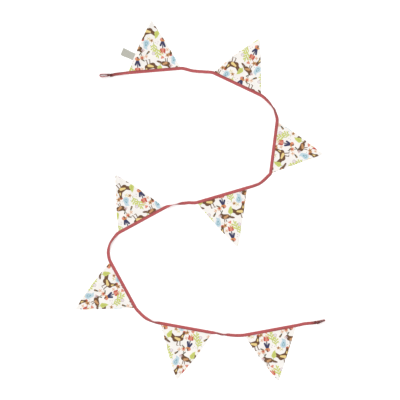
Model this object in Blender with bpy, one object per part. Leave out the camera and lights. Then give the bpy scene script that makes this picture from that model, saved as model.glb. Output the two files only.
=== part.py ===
"""A string of cloth bunting laid out in a loose S on a flat surface.

Eight pointed flags hang from one long tape, which is folded lengthwise over their top edges. The tape
tips up towards its edge where it bends, turns over once between the fourth and the fifth flag, and ends
in a hanging loop at each end. Metres, +Z up, surface at Z = 0. The origin is the middle of the covered
area, on the surface.
"""

import math
from collections import namedtuple

import bmesh
import bpy
from mathutils import Vector

MM = 0.001
PIECE_GAP = 0.3 * MM  # between a piece and its neighbour

FLAG_WIDTH = 205 * MM  # where a flag leaves the tape
FLAG_DROP = 205 * MM  # from the tape's middle line to a flag's point
FLAG_THICK = 1.0 * MM
FLAG_TUCK = 8 * MM  # how deep the tape holds a flag's top edge
FLAG_POINT = 2.4 * MM  # width of the blunt point
FLAG_ROWS = 10  # rows of a flag's mesh from its point to where it settles
SETTLE = 21 * MM  # a flag lies on the surface from this far off the tape's middle line
FOLDS_FADE = 14 * MM  # a flag's folds fade out over this length as they near the tape

TAPE_WIDTH = 12.5 * MM  # folded
TAPE_LEG = 1.0 * MM  # thickness of one leg of the fold
TAPE_CLOSED = 0.4 * MM  # between the legs where they hold nothing
TAPE_FOLD = 1.5 * MM  # from the folded edge to the bottom of the gap between the legs
TAPE_EASED = 0.9 * MM  # how far the folded edge's corners are cut back
TAPE_PARTS = 9 * MM  # the legs part over this length, before a flag
TAPE_STEP = 9.5 * MM  # between cross-sections of the tape
FLAG_STEP = 23 * MM  # between cross-sections along a flag
STRIP_THICK = 2 * TAPE_LEG + TAPE_CLOSED  # the closed tape, both legs

LOOP_NECK = 4 * MM  # a loop's sides run together this far before they part
LOOP_STEPS = 7  # along each side
LOOP_TIP_STEPS = 7  # round the tip; odd, so that one step lies square across it

LABEL_WIDTH = 28 * MM
LABEL_LENGTH = 53 * MM
LABEL_THICK = 1.0 * MM
LABEL_LEVEL = 61 * MM  # from the tape's middle line to the label's middle, at the first flag's side
LABEL_CURL = 3.5 * MM  # the label's free end lifts this much
LABEL_FLAT = 0.35  # share of its length before it starts to curl
LABEL_ROWS = 6

CLOTH_COLOUR = (0.86, 0.85, 0.82, 1.0)
TAPE_COLOUR = (0.50, 0.13, 0.12, 1.0)
LABEL_COLOUR = (0.56, 0.55, 0.51, 1.0)

# In the tables, lengths are in millimetres from the origin and angles in degrees from +X. A roll of 0 has the
# tape's open edge to the left of its direction, at 90 it stands on that edge, and at 180 it has turned over.
FLAT, TURNED = 0, 180

# The tape's run is straight along a flag. x, y is the middle of the flag's top edge, longer is how far its
# point lies past FLAG_DROP, and sway how far the point lies along the tape from the flag's middle. left and
# right are how far its two sides bow out at their middles, left being the side that the tape comes to first.
Flag = namedtuple("Flag", "x y heading longer sway left right roll")
FLAGS = (
    Flag(-184.0, 519.6, 4.8, -6, 5, 4.5, 3.5, FLAT),
    Flag(146.6, 465.8, -25.3, -5, 3, 6.5, 2.5, FLAT),
    Flag(293.6, 213.2, -97.2, -9, 3, 3.0, 0.5, FLAT),
    Flag(85.4, 21.0, -163.7, 10, -2, 2.0, 3.5, FLAT),
    Flag(-234.6, -78.8, -151.4, 4, 4, 3.0, 4.5, TURNED),
    Flag(-310.2, -336.8, -61.4, 6, -5, 5.5, 2.0, TURNED),
    Flag(-55.2, -509.8, -10.3, 3, -2, 3.5, 5.5, TURNED),
    Flag(279.0, -519.2, 10.5, -3, -6, 4.5, 2.5, TURNED),
)

# The loops stand on edge at the tape's ends. x, y is the end of the tape, and roll its roll there. length is
# from there to the middle of the wall at the loop's tip, and eye the loop's outer width.
Loop = namedtuple("Loop", "name x y heading length eye roll")
START = Loop("loop_start", -361, 500, 4, 41, 12.5, 12)
FINISH = Loop("loop_end", 463.8, -487, 18, 34, 7.5, 172)

# Places that the free tape passes after a flag, and its roll there. After 0 is before the first flag.
Pass = namedtuple("Pass", "after x y roll")
PASSES = (
    Pass(0, -340, 504.2, 10),
    Pass(0, -302, 509.2, 22),
    Pass(1, -26, 517.5, 10),
    Pass(1, 36, 513.2, 14),
    Pass(2, 266.5, 400, 29),
    Pass(2, 288, 373.5, 58),
    Pass(2, 296.4, 360.8, 49),
    Pass(3, 270, 97, 8),
    Pass(3, 238, 69, 27),
    Pass(3, 212, 58, 22),
    Pass(4, -54, -9.4, FLAT),
    Pass(4, -107.5, -17.3, 90),
    Pass(5, -347.5, -151, 139),
    Pass(5, -362.5, -175, 133),
    Pass(5, -368, -211.5, 174),
    Pass(6, -239.8, -451.9, 175),
    Pass(6, -221.4, -468.4, 173),
    Pass(6, -188.5, -485, 122),
    Pass(7, 64.2, -529.8, 131),
    Pass(7, 82, -535, 131),
    Pass(7, 95, -536.3, 123),
    Pass(7, 113, -537, 162),
    Pass(7, 140, -539.5, 169),
    Pass(8, 420, -492.6, 176),
    Pass(8, 444, -490.2, 176),
)

# Soft folds that lift a flag off the surface. u runs along the tape from the flag's middle and v from the
# tape to the point. The ridge passes through u, v at bearing degrees from the u direction.
Fold = namedtuple("Fold", "flag u v bearing height spread")
FOLDS = (
    Fold(1, -38, 105, 68, 3.2, 17),
    Fold(1, 46, 60, 120, 1.8, 15),
    Fold(2, -40, 110, 20, 3.4, 20),
    Fold(2, 6, 190, 80, 2.6, 16),
    Fold(3, -30, 120, 55, 2.6, 18),
    Fold(3, 38, 48, 95, 1.6, 17),
    Fold(4, 34, 128, 150, 3.4, 19),
    Fold(4, -36, 66, 80, 1.8, 20),
    Fold(5, -44, 92, 62, 3.0, 16),
    Fold(5, 30, 70, 130, 1.6, 20),
    Fold(6, -6, 178, 15, 3.6, 22),
    Fold(6, 42, 60, 110, 1.8, 18),
    Fold(7, 28, 126, 140, 3.4, 20),
    Fold(7, -14, 168, 70, 2.2, 14),
    Fold(8, -46, 84, 66, 3.0, 17),
    Fold(8, 20, 140, 100, 2.0, 18),
)

# A place on the tape's run, with its direction, or None where that follows from its neighbours.
Knot = namedtuple("Knot", "point along roll")

# A cross-section of the tape: its middle seen from above, its direction, its roll and half its fold's gap.
Section = namedtuple("Section", "point along roll half_gap")


def clear_scene():
    for obj in list(bpy.data.objects):
        bpy.data.objects.remove(obj)


def place(row):
    """A table row's x and y in metres."""
    return Vector((row.x, row.y)) * MM


def direction(degrees):
    return Vector((math.cos(math.radians(degrees)), math.sin(math.radians(degrees))))


def left_of(along):
    return Vector((-along.y, along.x))


def ease(share):
    """0 to 1, level at both ends."""
    share = max(0.0, min(1.0, share))
    return share * share * (3 - 2 * share)


def flag_ends(flag):
    half = direction(flag.heading) * FLAG_WIDTH / 2
    return place(flag) - half, place(flag) + half


def free_knots(after):
    """The knots of the free tape after a flag, from that flag or root to the next."""
    begin = Knot(place(START), direction(START.heading), START.roll)
    if after > 0:
        flag = FLAGS[after - 1]
        begin = Knot(flag_ends(flag)[1], direction(flag.heading), flag.roll)
    end = Knot(place(FINISH), direction(FINISH.heading), FINISH.roll)
    if after < len(FLAGS):
        flag = FLAGS[after]
        end = Knot(flag_ends(flag)[0], direction(flag.heading), flag.roll)
    passed = [Knot(place(row), None, row.roll) for row in PASSES if row.after == after]
    knots = [begin, *passed, end]
    for index in range(1, len(knots) - 1):
        through = (knots[index + 1].point - knots[index - 1].point).normalized()
        knots[index] = knots[index]._replace(along=through)
    return knots


def curve_point(begin, end, share):
    """A point of the smooth curve between two knots."""
    reach = (end.point - begin.point).length / 3
    near, far = begin.point + begin.along * reach, end.point - end.along * reach
    rest = 1 - share
    ends = rest**3 * begin.point + share**3 * end.point
    return ends + 3 * rest**2 * share * near + 3 * rest * share**2 * far


def free_run(after):
    """Points and rolls of the free tape after a flag, up to and with the next flag's first point."""
    knots = free_knots(after)
    points, rolls = [knots[0].point], [knots[0].roll]
    for begin, end in zip(knots, knots[1:]):
        steps = math.ceil((end.point - begin.point).length / TAPE_STEP)
        for step in range(1, steps + 1):
            points.append(curve_point(begin, end, step / steps))
            rolls.append(begin.roll + (end.roll - begin.roll) * ease(step / steps))
    return points, rolls


def free_gaps(points, after):
    """Half the gap in the tape's fold at each point of a free run: the legs part near the flags."""
    closed, parted = TAPE_CLOSED / 2, FLAG_THICK / 2 + PIECE_GAP
    travelled = [0.0]
    for before, point in zip(points, points[1:]):
        travelled.append(travelled[-1] + (point - before).length)
    from_flag = travelled if after > 0 else [math.inf] * len(points)
    to_flag = [travelled[-1] - s for s in travelled] if after < len(FLAGS) else [math.inf] * len(points)
    nearest = [min(pair) for pair in zip(from_flag, to_flag)]
    return [parted + (closed - parted) * ease((away - PIECE_GAP) / TAPE_PARTS) for away in nearest]


def flag_run(flag):
    """Points along a flag's top edge, without its ends."""
    begin, end = flag_ends(flag)
    steps = math.ceil(FLAG_WIDTH / FLAG_STEP)
    return [begin.lerp(end, step / steps) for step in range(1, steps)]


def tape_sections():
    """Every cross-section of the tape, from its first root to its last."""
    points, rolls, gaps = [], [], []
    for after in range(len(FLAGS) + 1):
        run, run_rolls = free_run(after)
        points += run
        rolls += run_rolls
        gaps += free_gaps(run, after)
        if after < len(FLAGS):
            held = flag_run(FLAGS[after])
            points += held
            rolls += [FLAGS[after].roll] * len(held)
            gaps += [FLAG_THICK / 2 + PIECE_GAP] * len(held)
    before, following = [points[0], *points[:-1]], [*points[1:], points[-1]]
    alongs = [(end - begin).normalized() for begin, end in zip(before, following)]
    return [Section(*row) for row in zip(points, alongs, map(math.radians, rolls), gaps)]


def tape_height(half_thick, roll):
    """How high the tape's middle lies when its lowest edge rests on the surface."""
    return TAPE_WIDTH / 2 * abs(math.sin(roll)) + half_thick * abs(math.cos(roll))


def tape_outline(half_gap):
    """The folded tape's cross-section as (across, up) pairs. across grows towards the open edge."""
    half, outer = TAPE_WIDTH / 2, half_gap + TAPE_LEG
    upper = [
        (-half, outer - TAPE_EASED),
        (TAPE_EASED - half, outer),
        (half, outer),
        (half, half_gap),
        (TAPE_FOLD - half, half_gap),
    ]
    return upper + [(across, -up) for across, up in reversed(upper)]


def section_ring(section):
    """A cross-section's corners in space."""
    side, lift = Vector((*left_of(section.along), 0)), Vector((0, 0, 1))
    across = side * math.cos(section.roll) - lift * math.sin(section.roll)
    up = lift * math.cos(section.roll) + side * math.sin(section.roll)
    middle = Vector((*section.point, tape_height(section.half_gap + TAPE_LEG, section.roll)))
    return [middle + across * a + up * u for a, u in tape_outline(section.half_gap)]


def object_from(name, add_faces, material):
    """A new object whose mesh is what add_faces puts in an empty bmesh."""
    work = bmesh.new()
    add_faces(work)
    bmesh.ops.recalc_face_normals(work, faces=work.faces)
    mesh = bpy.data.meshes.new(name)
    work.to_mesh(mesh)
    work.free()
    mesh.materials.append(material)
    obj = bpy.data.objects.new(name, mesh)
    bpy.context.scene.collection.objects.link(obj)
    return obj


def thicken(obj, thickness):
    """Makes a one-sided sheet a solid, half its thickness to each side."""
    solid = obj.modifiers.new("thickness", "SOLIDIFY")
    solid.thickness = thickness
    solid.offset = 0
    solid.use_even_offset = True


def add_rows(work, rows):
    """Faces between rows of equally many points."""
    rows = [[work.verts.new(point) for point in row] for row in rows]
    for row, following in zip(rows, rows[1:]):
        for index in range(len(row) - 1):
            work.faces.new((row[index], row[index + 1], following[index + 1], following[index]))


def add_segment(work, ring, following, opening):
    """The tape's faces from one ring of corners to the next. opening says which of the ring's sides run
    towards the open edge. Each face is split the same way across, so the legs stay apart where it twists."""
    for index, runs_open in enumerate(opening):
        after = (index + 1) % len(ring)
        near, far, far_next, near_next = ring[index], ring[after], following[after], following[index]
        if runs_open:
            work.faces.new((near, far, far_next))
            work.faces.new((near, far_next, near_next))
        else:
            work.faces.new((near, far, near_next))
            work.faces.new((far, far_next, near_next))


def build_tape(material):
    rings = [section_ring(section) for section in tape_sections()]
    outline = tape_outline(TAPE_CLOSED / 2)
    opening = [end[0] > begin[0] for begin, end in zip(outline, [*outline[1:], outline[0]])]

    def sweep(work):
        corners = [[work.verts.new(point) for point in ring] for ring in rings]
        for ring, following in zip(corners, corners[1:]):
            add_segment(work, ring, following, opening)
        ends = [edge for edge in work.edges if edge.is_boundary]
        bmesh.ops.holes_fill(work, edges=ends)

    object_from("tape", sweep, material)


def flag_frame(flag):
    """The tape's direction along a flag, and the direction from the tape to the flag's point."""
    along = direction(flag.heading)
    return along, left_of(along) * math.cos(math.radians(flag.roll))


def fold_lift(number, u, v):
    """How far a flag's folds lift it off the surface at u, v."""
    lift = 0.0
    for fold in FOLDS:
        if fold.flag == number:
            off = (Vector((u, v)) - Vector((fold.u, fold.v)) * MM).cross(direction(fold.bearing))
            lift += fold.height * MM * math.exp(-((off / (fold.spread * MM)) ** 2))
    return lift * ease((v - SETTLE) / FOLDS_FADE)


def flag_height(number, u, v):
    """Height of a flag's middle layer: level inside the tape, then down to the surface and over its folds."""
    held, resting = tape_height(FLAG_THICK / 2 + PIECE_GAP + TAPE_LEG, FLAT), FLAG_THICK / 2
    leaves_tape = TAPE_WIDTH / 2 + PIECE_GAP
    settled = ease((v - leaves_tape) / (SETTLE - leaves_tape))
    return held + (resting - held) * settled + fold_lift(number, u, v)


def flag_sides(flag, v):
    """Where a flag's two sides lie at v, as u values. Inside the tape they run straight."""
    edge, drop = TAPE_WIDTH / 2, FLAG_DROP + flag.longer * MM
    share = max(0.0, (v - edge) / (drop - edge))
    middle, bow = flag.sway * MM * share, 4 * share * (1 - share) * MM
    half = (FLAG_WIDTH + (FLAG_POINT - FLAG_WIDTH) * share) / 2
    return middle - half - flag.left * bow, middle + half + flag.right * bow


def flag_levels(flag):
    """v of each row of a flag's mesh, from its point up to the edge inside the tape."""
    drop = FLAG_DROP + flag.longer * MM
    free = [drop + (SETTLE - drop) * row / (FLAG_ROWS - 1) for row in range(FLAG_ROWS)]
    return [*free, TAPE_WIDTH / 2 + PIECE_GAP, TAPE_WIDTH / 2 - FLAG_TUCK]


def flag_row(number, v, cells):
    """Points across a flag at v."""
    flag = FLAGS[number - 1]
    along, down = flag_frame(flag)
    left, right = flag_sides(flag, v)
    spots = [left + (right - left) * cell / cells for cell in range(cells + 1)]
    return [Vector((*(place(flag) + along * u + down * v), flag_height(number, u, v))) for u in spots]


def build_flag(number, material):
    """A triangle whose rows have one cell more each, from the point to the tape."""

    def sheet(work):
        levels = flag_levels(FLAGS[number - 1])
        rows = [flag_row(number, v, index + 1) for index, v in enumerate(levels)]
        rows = [[work.verts.new(point) for point in row] for row in rows]
        for row, wider in zip(rows, rows[1:]):
            for index, corner in enumerate(row):
                work.faces.new((corner, wider[index], wider[index + 1]))
            for index in range(len(row) - 1):
                work.faces.new((row[index], wider[index + 1], row[index + 1]))

    thicken(object_from(f"flag_{number}", sheet, material), FLAG_THICK)


def loop_path(loop):
    """A loop's line from above, as (out, aside) from the tape's end. The strip goes out along one side, round
    the tip and back along the other."""
    apart = STRIP_THICK + PIECE_GAP
    radius = (loop.eye * MM - STRIP_THICK) / 2
    straight = loop.length * MM - radius - LOOP_NECK
    side, tip = [], []
    for step in range(LOOP_STEPS + 1):
        share = step / LOOP_STEPS
        half = apart / 2 + (radius - apart / 2) * math.sin(math.pi / 2 * share)
        side.append((LOOP_NECK + straight * share, half))
    for step in range(1, LOOP_TIP_STEPS):
        turn = math.pi * step / LOOP_TIP_STEPS
        tip.append((LOOP_NECK + straight + radius * math.sin(turn), radius * math.cos(turn)))
    back = [(out, -half) for out, half in reversed(side)]
    line = [(0, apart / 2), *side, *tip, *back, (0, -apart / 2)]
    return [(out, aside - apart / 2) for out, aside in line]


def build_loop(loop, out, material):
    """A hanging loop of tape, standing on its edge."""
    aside = left_of(out)
    root = place(loop) + out * PIECE_GAP
    path = [root + out * o + aside * a for o, a in loop_path(loop)]

    def wall(work):
        add_rows(work, [[Vector((*point, height)) for point in path] for height in (0, TAPE_WIDTH)])

    thicken(object_from(loop.name, wall, material), STRIP_THICK)


def build_label(material):
    """A bare label sewn into the first flag's side seam, square to that side."""
    flag = FLAGS[0]
    along, down = flag_frame(flag)
    low, middle, high = [
        Vector((flag_sides(flag, v)[0], v))
        for v in (LABEL_LEVEL - LABEL_WIDTH / 2, LABEL_LEVEL, LABEL_LEVEL + LABEL_WIDTH / 2)
    ]
    up_edge = (high - low).normalized()
    out = left_of(up_edge)

    def label_point(across, away):
        seam = middle + up_edge * across
        spot = seam + out * (away + PIECE_GAP + FLAG_THICK / 2)
        free = away / LABEL_LENGTH
        curl = LABEL_CURL * ease((free - LABEL_FLAT) / (1 - LABEL_FLAT))
        height = fold_lift(1, *seam) * (1 - ease(free)) + curl
        return Vector((*(place(flag) + along * spot.x + down * spot.y), LABEL_THICK / 2 + height))

    def sheet(work):
        lengths = [LABEL_LENGTH * row / LABEL_ROWS for row in range(LABEL_ROWS + 1)]
        widths = [LABEL_WIDTH / 2 * side for side in (-1, 0, 1)]
        add_rows(work, [[label_point(across, away) for across in widths] for away in lengths])

    thicken(object_from("label", sheet, material), LABEL_THICK)


def cloth_material(name, colour, roughness):
    material = bpy.data.materials.new(name)
    material.use_nodes = True
    shader = material.node_tree.nodes["Principled BSDF"]
    shader.inputs["Base Color"].default_value = colour
    shader.inputs["Roughness"].default_value = roughness
    shader.inputs["Metallic"].default_value = 0.0
    return material


def main():
    clear_scene()
    cotton = cloth_material("printed_cotton", CLOTH_COLOUR, 0.9)
    red = cloth_material("red_tape", TAPE_COLOUR, 0.85)
    satin = cloth_material("label_satin", LABEL_COLOUR, 0.6)
    build_tape(red)
    for number in range(1, len(FLAGS) + 1):
        build_flag(number, cotton)
    build_loop(START, -direction(START.heading), red)
    build_loop(FINISH, direction(FINISH.heading), red)
    build_label(satin)


main()
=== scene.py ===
import math
from collections import namedtuple
from itertools import groupby
from operator import attrgetter

import bmesh
import bpy
import numpy as np
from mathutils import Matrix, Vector


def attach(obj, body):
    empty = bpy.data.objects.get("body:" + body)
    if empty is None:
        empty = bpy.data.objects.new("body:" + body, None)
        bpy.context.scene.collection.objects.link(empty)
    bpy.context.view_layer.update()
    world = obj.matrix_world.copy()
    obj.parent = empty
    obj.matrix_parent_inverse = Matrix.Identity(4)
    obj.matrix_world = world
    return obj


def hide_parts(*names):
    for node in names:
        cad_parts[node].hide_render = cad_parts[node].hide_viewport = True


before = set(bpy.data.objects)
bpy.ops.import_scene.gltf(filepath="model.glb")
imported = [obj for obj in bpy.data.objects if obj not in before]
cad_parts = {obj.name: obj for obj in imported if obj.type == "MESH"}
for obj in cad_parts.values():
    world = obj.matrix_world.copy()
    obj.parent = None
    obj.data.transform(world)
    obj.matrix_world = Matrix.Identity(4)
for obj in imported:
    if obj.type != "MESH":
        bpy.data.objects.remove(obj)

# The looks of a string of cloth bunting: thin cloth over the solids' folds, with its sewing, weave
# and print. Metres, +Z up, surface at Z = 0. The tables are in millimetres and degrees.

MM = 0.001


def table(columns, *rows):
    """Rows whose values go by the names of their columns."""
    return list(map(namedtuple("Row", columns)._make, rows))


# The cut and the way it lies, as in the solids.
FLAG_WIDTH = 205 * MM
FLAG_DROP = 205 * MM
FLAG_TUCK = 8 * MM
FLAG_POINT = 2.4 * MM
SETTLE = 21 * MM
FOLDS_FADE = 14 * MM
TAPE_WIDTH = 12.5 * MM
TAPE_PARTS = 9 * MM
LOOP_GAP = 0.3 * MM
LOOP_STRIP = 2.4 * MM
LOOP_NECK = 4 * MM
LABEL_WIDTH = 28 * MM
LABEL_LENGTH = 53 * MM
LABEL_LEVEL = 61 * MM
LABEL_CURL = 3.5 * MM
LABEL_FLAT = 0.35

# The cloth itself.
TAPE_LEG = 0.85 * MM
TAPE_CLOSED = 0.12 * MM  # half the gap between the legs where they hold nothing
FLAG_TUCKED = 0.45 * MM  # half a flag's thickness inside the tape
FLAG_CLOTH = 0.7 * MM
SEAM_EXTRA = 0.4 * MM  # what the turned-in edges add
SEAM_DEEP, SEAM_STEP = 6.5 * MM, 1.5 * MM  # how wide, and how soon they end
PUCKER = 0.45 * MM
PUCKER_REACH = 9 * MM  # a flag's puckers fade over this from its sides
SWELL = 0.6 * MM  # height of a flag's slow undulation
LOOSE = 30 * MM  # the tape wavers freely from this far off a flag
LABEL_THICK = 0.6 * MM
LABEL_FOLD = 1.0 * MM  # at the label's folded end
LABEL_HEM = 4 * MM  # how far back its fold reaches
LABEL_FLARE = 1.3 * MM  # the label's free end is wider on each side by this
LABEL_SKEW = 1.6 * MM  # and lies askew by this
LABEL_BEND = 0.5 * MM
LABEL_CLEAR = 0.35 * MM  # between the label and the flag's side
CLEAR = 0.06 * MM

# How finely the pieces are drawn.
TAPE_STEP = 2.2 * MM
FLAG_ROWS = 104
LOOP_STEPS = 22
LOOP_TIP_STEPS = 15
LABEL_ROWS, LABEL_CELLS = 40, 20
RIM_TURNS = (60, 30, 0, -30, -60)
THREAD_SIDES = 6

FLAT, UPRIGHT, TURNED = 0, 90, 180

FLAGS = table(
    "x y heading longer sway left right roll",
    (-184.0, 519.6, 4.8, -6, 5, 4.5, 3.5, FLAT),
    (146.6, 465.8, -25.3, -5, 3, 6.5, 2.5, FLAT),
    (293.6, 213.2, -97.2, -9, 3, 3.0, 0.5, FLAT),
    (85.4, 21.0, -163.7, 10, -2, 2.0, 3.5, FLAT),
    (-234.6, -78.8, -151.4, 4, 4, 3.0, 4.5, TURNED),
    (-310.2, -336.8, -61.4, 6, -5, 5.5, 2.0, TURNED),
    (-55.2, -509.8, -10.3, 3, -2, 3.5, 5.5, TURNED),
    (279.0, -519.2, 10.5, -3, -6, 4.5, 2.5, TURNED),
)

# root is how far apart a loop's sides are at the tape, full how far its strip's legs part there.
Loop = namedtuple("Loop", "name x y heading length eye roll root full")
START = Loop("loop_start", -361, 500, 4, 41, 12.5, 12, 6.2, 0.4)
FINISH = Loop("loop_end", 463.8, -487, 18, 34, 7.5, 172, 7.6, 3.0)

PASSES = table(
    "after x y roll",
    (0, -340, 504.2, 10),
    (0, -302, 509.2, 22),
    (1, -26, 517.5, 10),
    (1, 36, 513.2, 14),
    (2, 266.5, 400, 29),
    (2, 288, 373.5, 58),
    (2, 296.4, 360.8, 49),
    (3, 270, 97, 8),
    (3, 238, 69, 27),
    (3, 212, 58, 22),
    (4, -54, -9.4, FLAT),
    (4, -107.5, -17.3, 90),
    (5, -347.5, -151, 139),
    (5, -362.5, -175, 133),
    (5, -368, -211.5, 174),
    (6, -239.8, -451.9, 175),
    (6, -221.4, -468.4, 173),
    (6, -188.5, -485, 122),
    (7, 64.2, -529.8, 131),
    (7, 82, -535, 131),
    (7, 95, -536.3, 123),
    (7, 113, -537, 162),
    (7, 140, -539.5, 169),
    (8, 420, -492.6, 176),
    (8, 444, -490.2, 176),
)

FOLDS = table(
    "flag u v bearing height spread",
    (1, -38, 105, 68, 3.2, 17),
    (1, 46, 60, 120, 1.8, 15),
    (2, -40, 110, 20, 3.4, 20),
    (2, 6, 190, 80, 2.6, 16),
    (3, -30, 120, 55, 2.6, 18),
    (3, 38, 48, 95, 1.6, 17),
    (4, 34, 128, 150, 3.4, 19),
    (4, -36, 66, 80, 1.8, 20),
    (5, -44, 92, 62, 3.0, 16),
    (5, 30, 70, 130, 1.6, 20),
    (6, -6, 178, 15, 3.6, 22),
    (6, 42, 60, 110, 1.8, 18),
    (7, 28, 126, 140, 3.4, 20),
    (7, -14, 168, 70, 2.2, 14),
    (8, -46, 84, 66, 3.0, 17),
    (8, 20, 140, 100, 2.0, 18),
)

# Small creases on top of the folds, each a ridge that fades out along its length.
CREASES = table(
    "flag u v bearing height spread length",
    (1, -60, 62, 60, 1.4, 6, 34),
    (1, 4, 150, 100, 1.1, 7, 26),
    (1, 30, 96, 20, 0.7, 5, 30),
    (2, -28, 84, 158, 1.3, 6, 26),
    (2, 10, 176, 62, 1.5, 5, 18),
    (2, 52, 40, 130, 0.9, 6, 28),
    (3, 6, 168, 75, 1.7, 5, 22),
    (3, -20, 60, 35, 0.9, 6, 36),
    (3, -4, 184, 120, 1.3, 4, 12),
    (4, 52, 72, 118, 1.6, 6, 24),
    (4, 12, 160, 70, 1.1, 6, 28),
    (4, -58, 38, 45, 0.9, 5, 24),
    (5, 2, 182, 96, 1.8, 5, 20),
    (5, -54, 48, 30, 0.9, 6, 32),
    (5, 40, 104, 112, 1.0, 7, 22),
    (6, 4, 172, 40, 1.8, 5, 24),
    (6, -50, 70, 75, 1.1, 6, 26),
    (6, 20, 120, 150, 0.8, 5, 24),
    (7, 6, 178, 102, 1.6, 5, 20),
    (7, -66, 34, 25, 1.3, 6, 26),
    (7, -20, 96, 60, 0.9, 6, 34),
    (8, 8, 176, 80, 1.5, 5, 22),
    (8, -30, 50, 150, 0.9, 6, 30),
    (8, 48, 82, 60, 1.0, 6, 24),
)

# Painted shade that darkens the tape where it leans on its edge and about its loops, by the place that it
# passes:
# along is how far the painted shade reaches along it, and side is 1 for the half by the open edge, -1 for the
# folded half and 0 for both.
PAINTED_SHADES = table(
    "x y along side amount",
    (-352, 501, 30, 0, 0.66),
    (-318, 506, 22, 1, 0.55),
    (-226, 516, 60, 1, 0.30),
    (-120, 525, 40, 1, 0.26),
    (84, 495, 40, 1, 0.30),
    (196, 443, 36, 1, 0.34),
    (262, 403, 24, 1, 0.45),
    (282, 120, 34, 1, 0.24),
    (40, 8, 40, 1, 0.22),
    (-190, -54, 34, 1, 0.26),
    (-268, -98, 30, -1, 0.22),
    (-292, -372, 46, 1, 0.24),
    (-20, -516, 44, 1, 0.26),
    (318, -512, 50, 1, 0.24),
    (292, 366, 26, 0, 0.50),
    (300, 290, 40, 0, 0.18),
    (-354, -160, 22, 0, 0.40),
    (-184, -486, 24, 0, 0.35),
    (80, -535, 22, 0, 0.45),
    (456, -489, 16, 0, 0.60),
    (478, -483, 20, 0, 0.80),
    (-90, -18, 14, 0, 0.30),
)
SHADE_STEEP = 1.6  # how sharply painted shade on one half ends at the tape's middle

# Slow unevenness: a sine of that height, its length in millimetres and its phase in radians.
Ripple = namedtuple("Ripple", "height length phase")
TAPE_WAVER = (Ripple(0.22, 83, 0.4), Ripple(0.12, 31, 2.0))  # sideways, in millimetres
TAPE_ROCK = (Ripple(2.0, 57, 1.1), Ripple(1.0, 22, 0.0))  # of its roll, in degrees
TAPE_SWELL = (Ripple(0.014, 43, 0.7), Ripple(0.009, 17, 0.0))  # of its width, as a share
LOOP_SWELL = (Ripple(0.012, 23, 0.5),)
LABEL_NIP = (Ripple(0.35, 33, 0.6),)  # of half its width, in millimetres
LABEL_WAVE = (Ripple(0.5, 27, 1.2),)
# The same for a flag, with the phase times its number: its two sides, its puckers and its undulation.
LEFT_SIDE = (Ripple(0.3, 37, 1), Ripple(0.15, 13, 2))
RIGHT_SIDE = (Ripple(0.3, 41, 2), Ripple(0.15, 11, 1))
PUCKERS = (Ripple(0.3, 14.5, 1.7), Ripple(0.2, 8.3, 3.4))
SWELLS = (Ripple(1.0, 74, 1.7), Ripple(1.0, 58, 5.1))

# Thread.
STITCH_PITCH = 2.9 * MM
STITCH_LENGTH = 2.2 * MM
STITCH_RADIUS = 0.28 * MM
STITCH_INSET = 2.0 * MM  # from the tape's open edge
STITCH_SINK = 0.13 * MM
STITCH_ENDS = 5 * MM  # the row stops this far from the tape's ends
WRAP_RADIUS = 0.5 * MM
WRAP_PITCH = 1.1 * MM
WRAP_LEAN = 0.4 * MM
WRAP_ASIDE, WRAP_ABOVE = 0.3 * MM, 0.1 * MM  # a thread's middle off a loop's side and edge
WRAPS_BEFORE, WRAPS_AFTER = 4, 10  # over the tape's end, and past it over the loop

# The rings of one stitch, as shares: how far along it each is, how thick the thread is there, and its rise.
BEADS = table(
    "along thick rise",
    (-0.5, 0.25, -0.5),
    (-0.38, 0.9, 0.0),
    (0.0, 1.0, 0.5),
    (0.38, 0.9, 0.0),
    (0.5, 0.25, -0.5),
)

# Half the line of a thread lashed over the tape's end, as shares of half its width and half its thickness,
# and of one over a loop, as shares of half its width and of its height.
Over = namedtuple("Over", "across up")
TAPE_OVERS = (Over(1.03, -0.9), Over(1.04, 0.5), Over(0.9, 1.4), Over(0, 1.45))
LOOP_OVERS = (Over(-1, 0.2), Over(-1, 0.88), Over(-0.72, 1.0), Over(0, 1.01))

# The camera stands right above, so that the field covers 1.6 m. Its middle is a little off the origin.
FIELD = 1.6
LENS, SENSOR = 85, 36
CENTRE = Vector((-1.75, 1.85)) * MM

# The print repeats on columns CHART_WIDE apart, each half of CHART_HIGH higher than the one before.
CHART_WIDE, CHART_HIGH = 106, 138
PRINT_SOFT = 0.7  # mm over which a motif's edge fades

# The light burns the pale floor out, so the cloth's own colours are darker by this than they look.
EXPOSURE = 1.12


def linear(red, green, blue):
    """A cloth's shader colour from the sRGB values of 0 to 255 that it is to show."""
    values = [value / 255 for value in (red, green, blue)]
    shown = [v / 12.92 if v <= 0.04045 else ((v + 0.055) / 1.055) ** 2.4 for v in values]
    return (*[value / EXPOSURE for value in shown], 1.0)


INK = {
    "ground": linear(246, 242, 237),
    "brown": linear(112, 80, 54),
    "tan": linear(200, 150, 104),
    "peach": linear(232, 190, 160),
    "yellow": linear(236, 210, 140),
    "lime": linear(202, 208, 112),
    "leaf": linear(176, 186, 104),
    "red": linear(196, 86, 72),
    "coral": linear(222, 142, 120),
    "orange": linear(218, 142, 84),
    "navy": linear(62, 62, 96),
    "sky": linear(192, 214, 224),
    "teal": linear(126, 172, 182),
    "olive": linear(84, 78, 52),
    "lilac": linear(208, 190, 200),
    "grey": linear(180, 166, 164),
}
TAPE_RED = linear(185, 90, 92)
# The colour that the tape's painted shade darkens it towards.
TAPE_PAINTED_SHADE = linear(112, 58, 52)
THREAD_RED = linear(140, 56, 64)
# Thread lashed at the loops' roots, darker than the stitching: the lashing stands for a bar-tack, and its
# dark colour paints the shade at the roots.
THREAD_WITH_PAINTED_SHADE = linear(112, 60, 58)
LABEL_GREY = linear(188, 187, 176)
FLOOR_WHITE = (0.92, 0.92, 0.92, 1.0)
FLOOR_GLOW = 0.2  # the floor is lit a little from below too
FLOOR_REACH = 8.0
WHITE = (1.0, 1.0, 1.0, 1.0)
WORLD_LIGHT = 0.84
SHINE = 0.25

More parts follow.
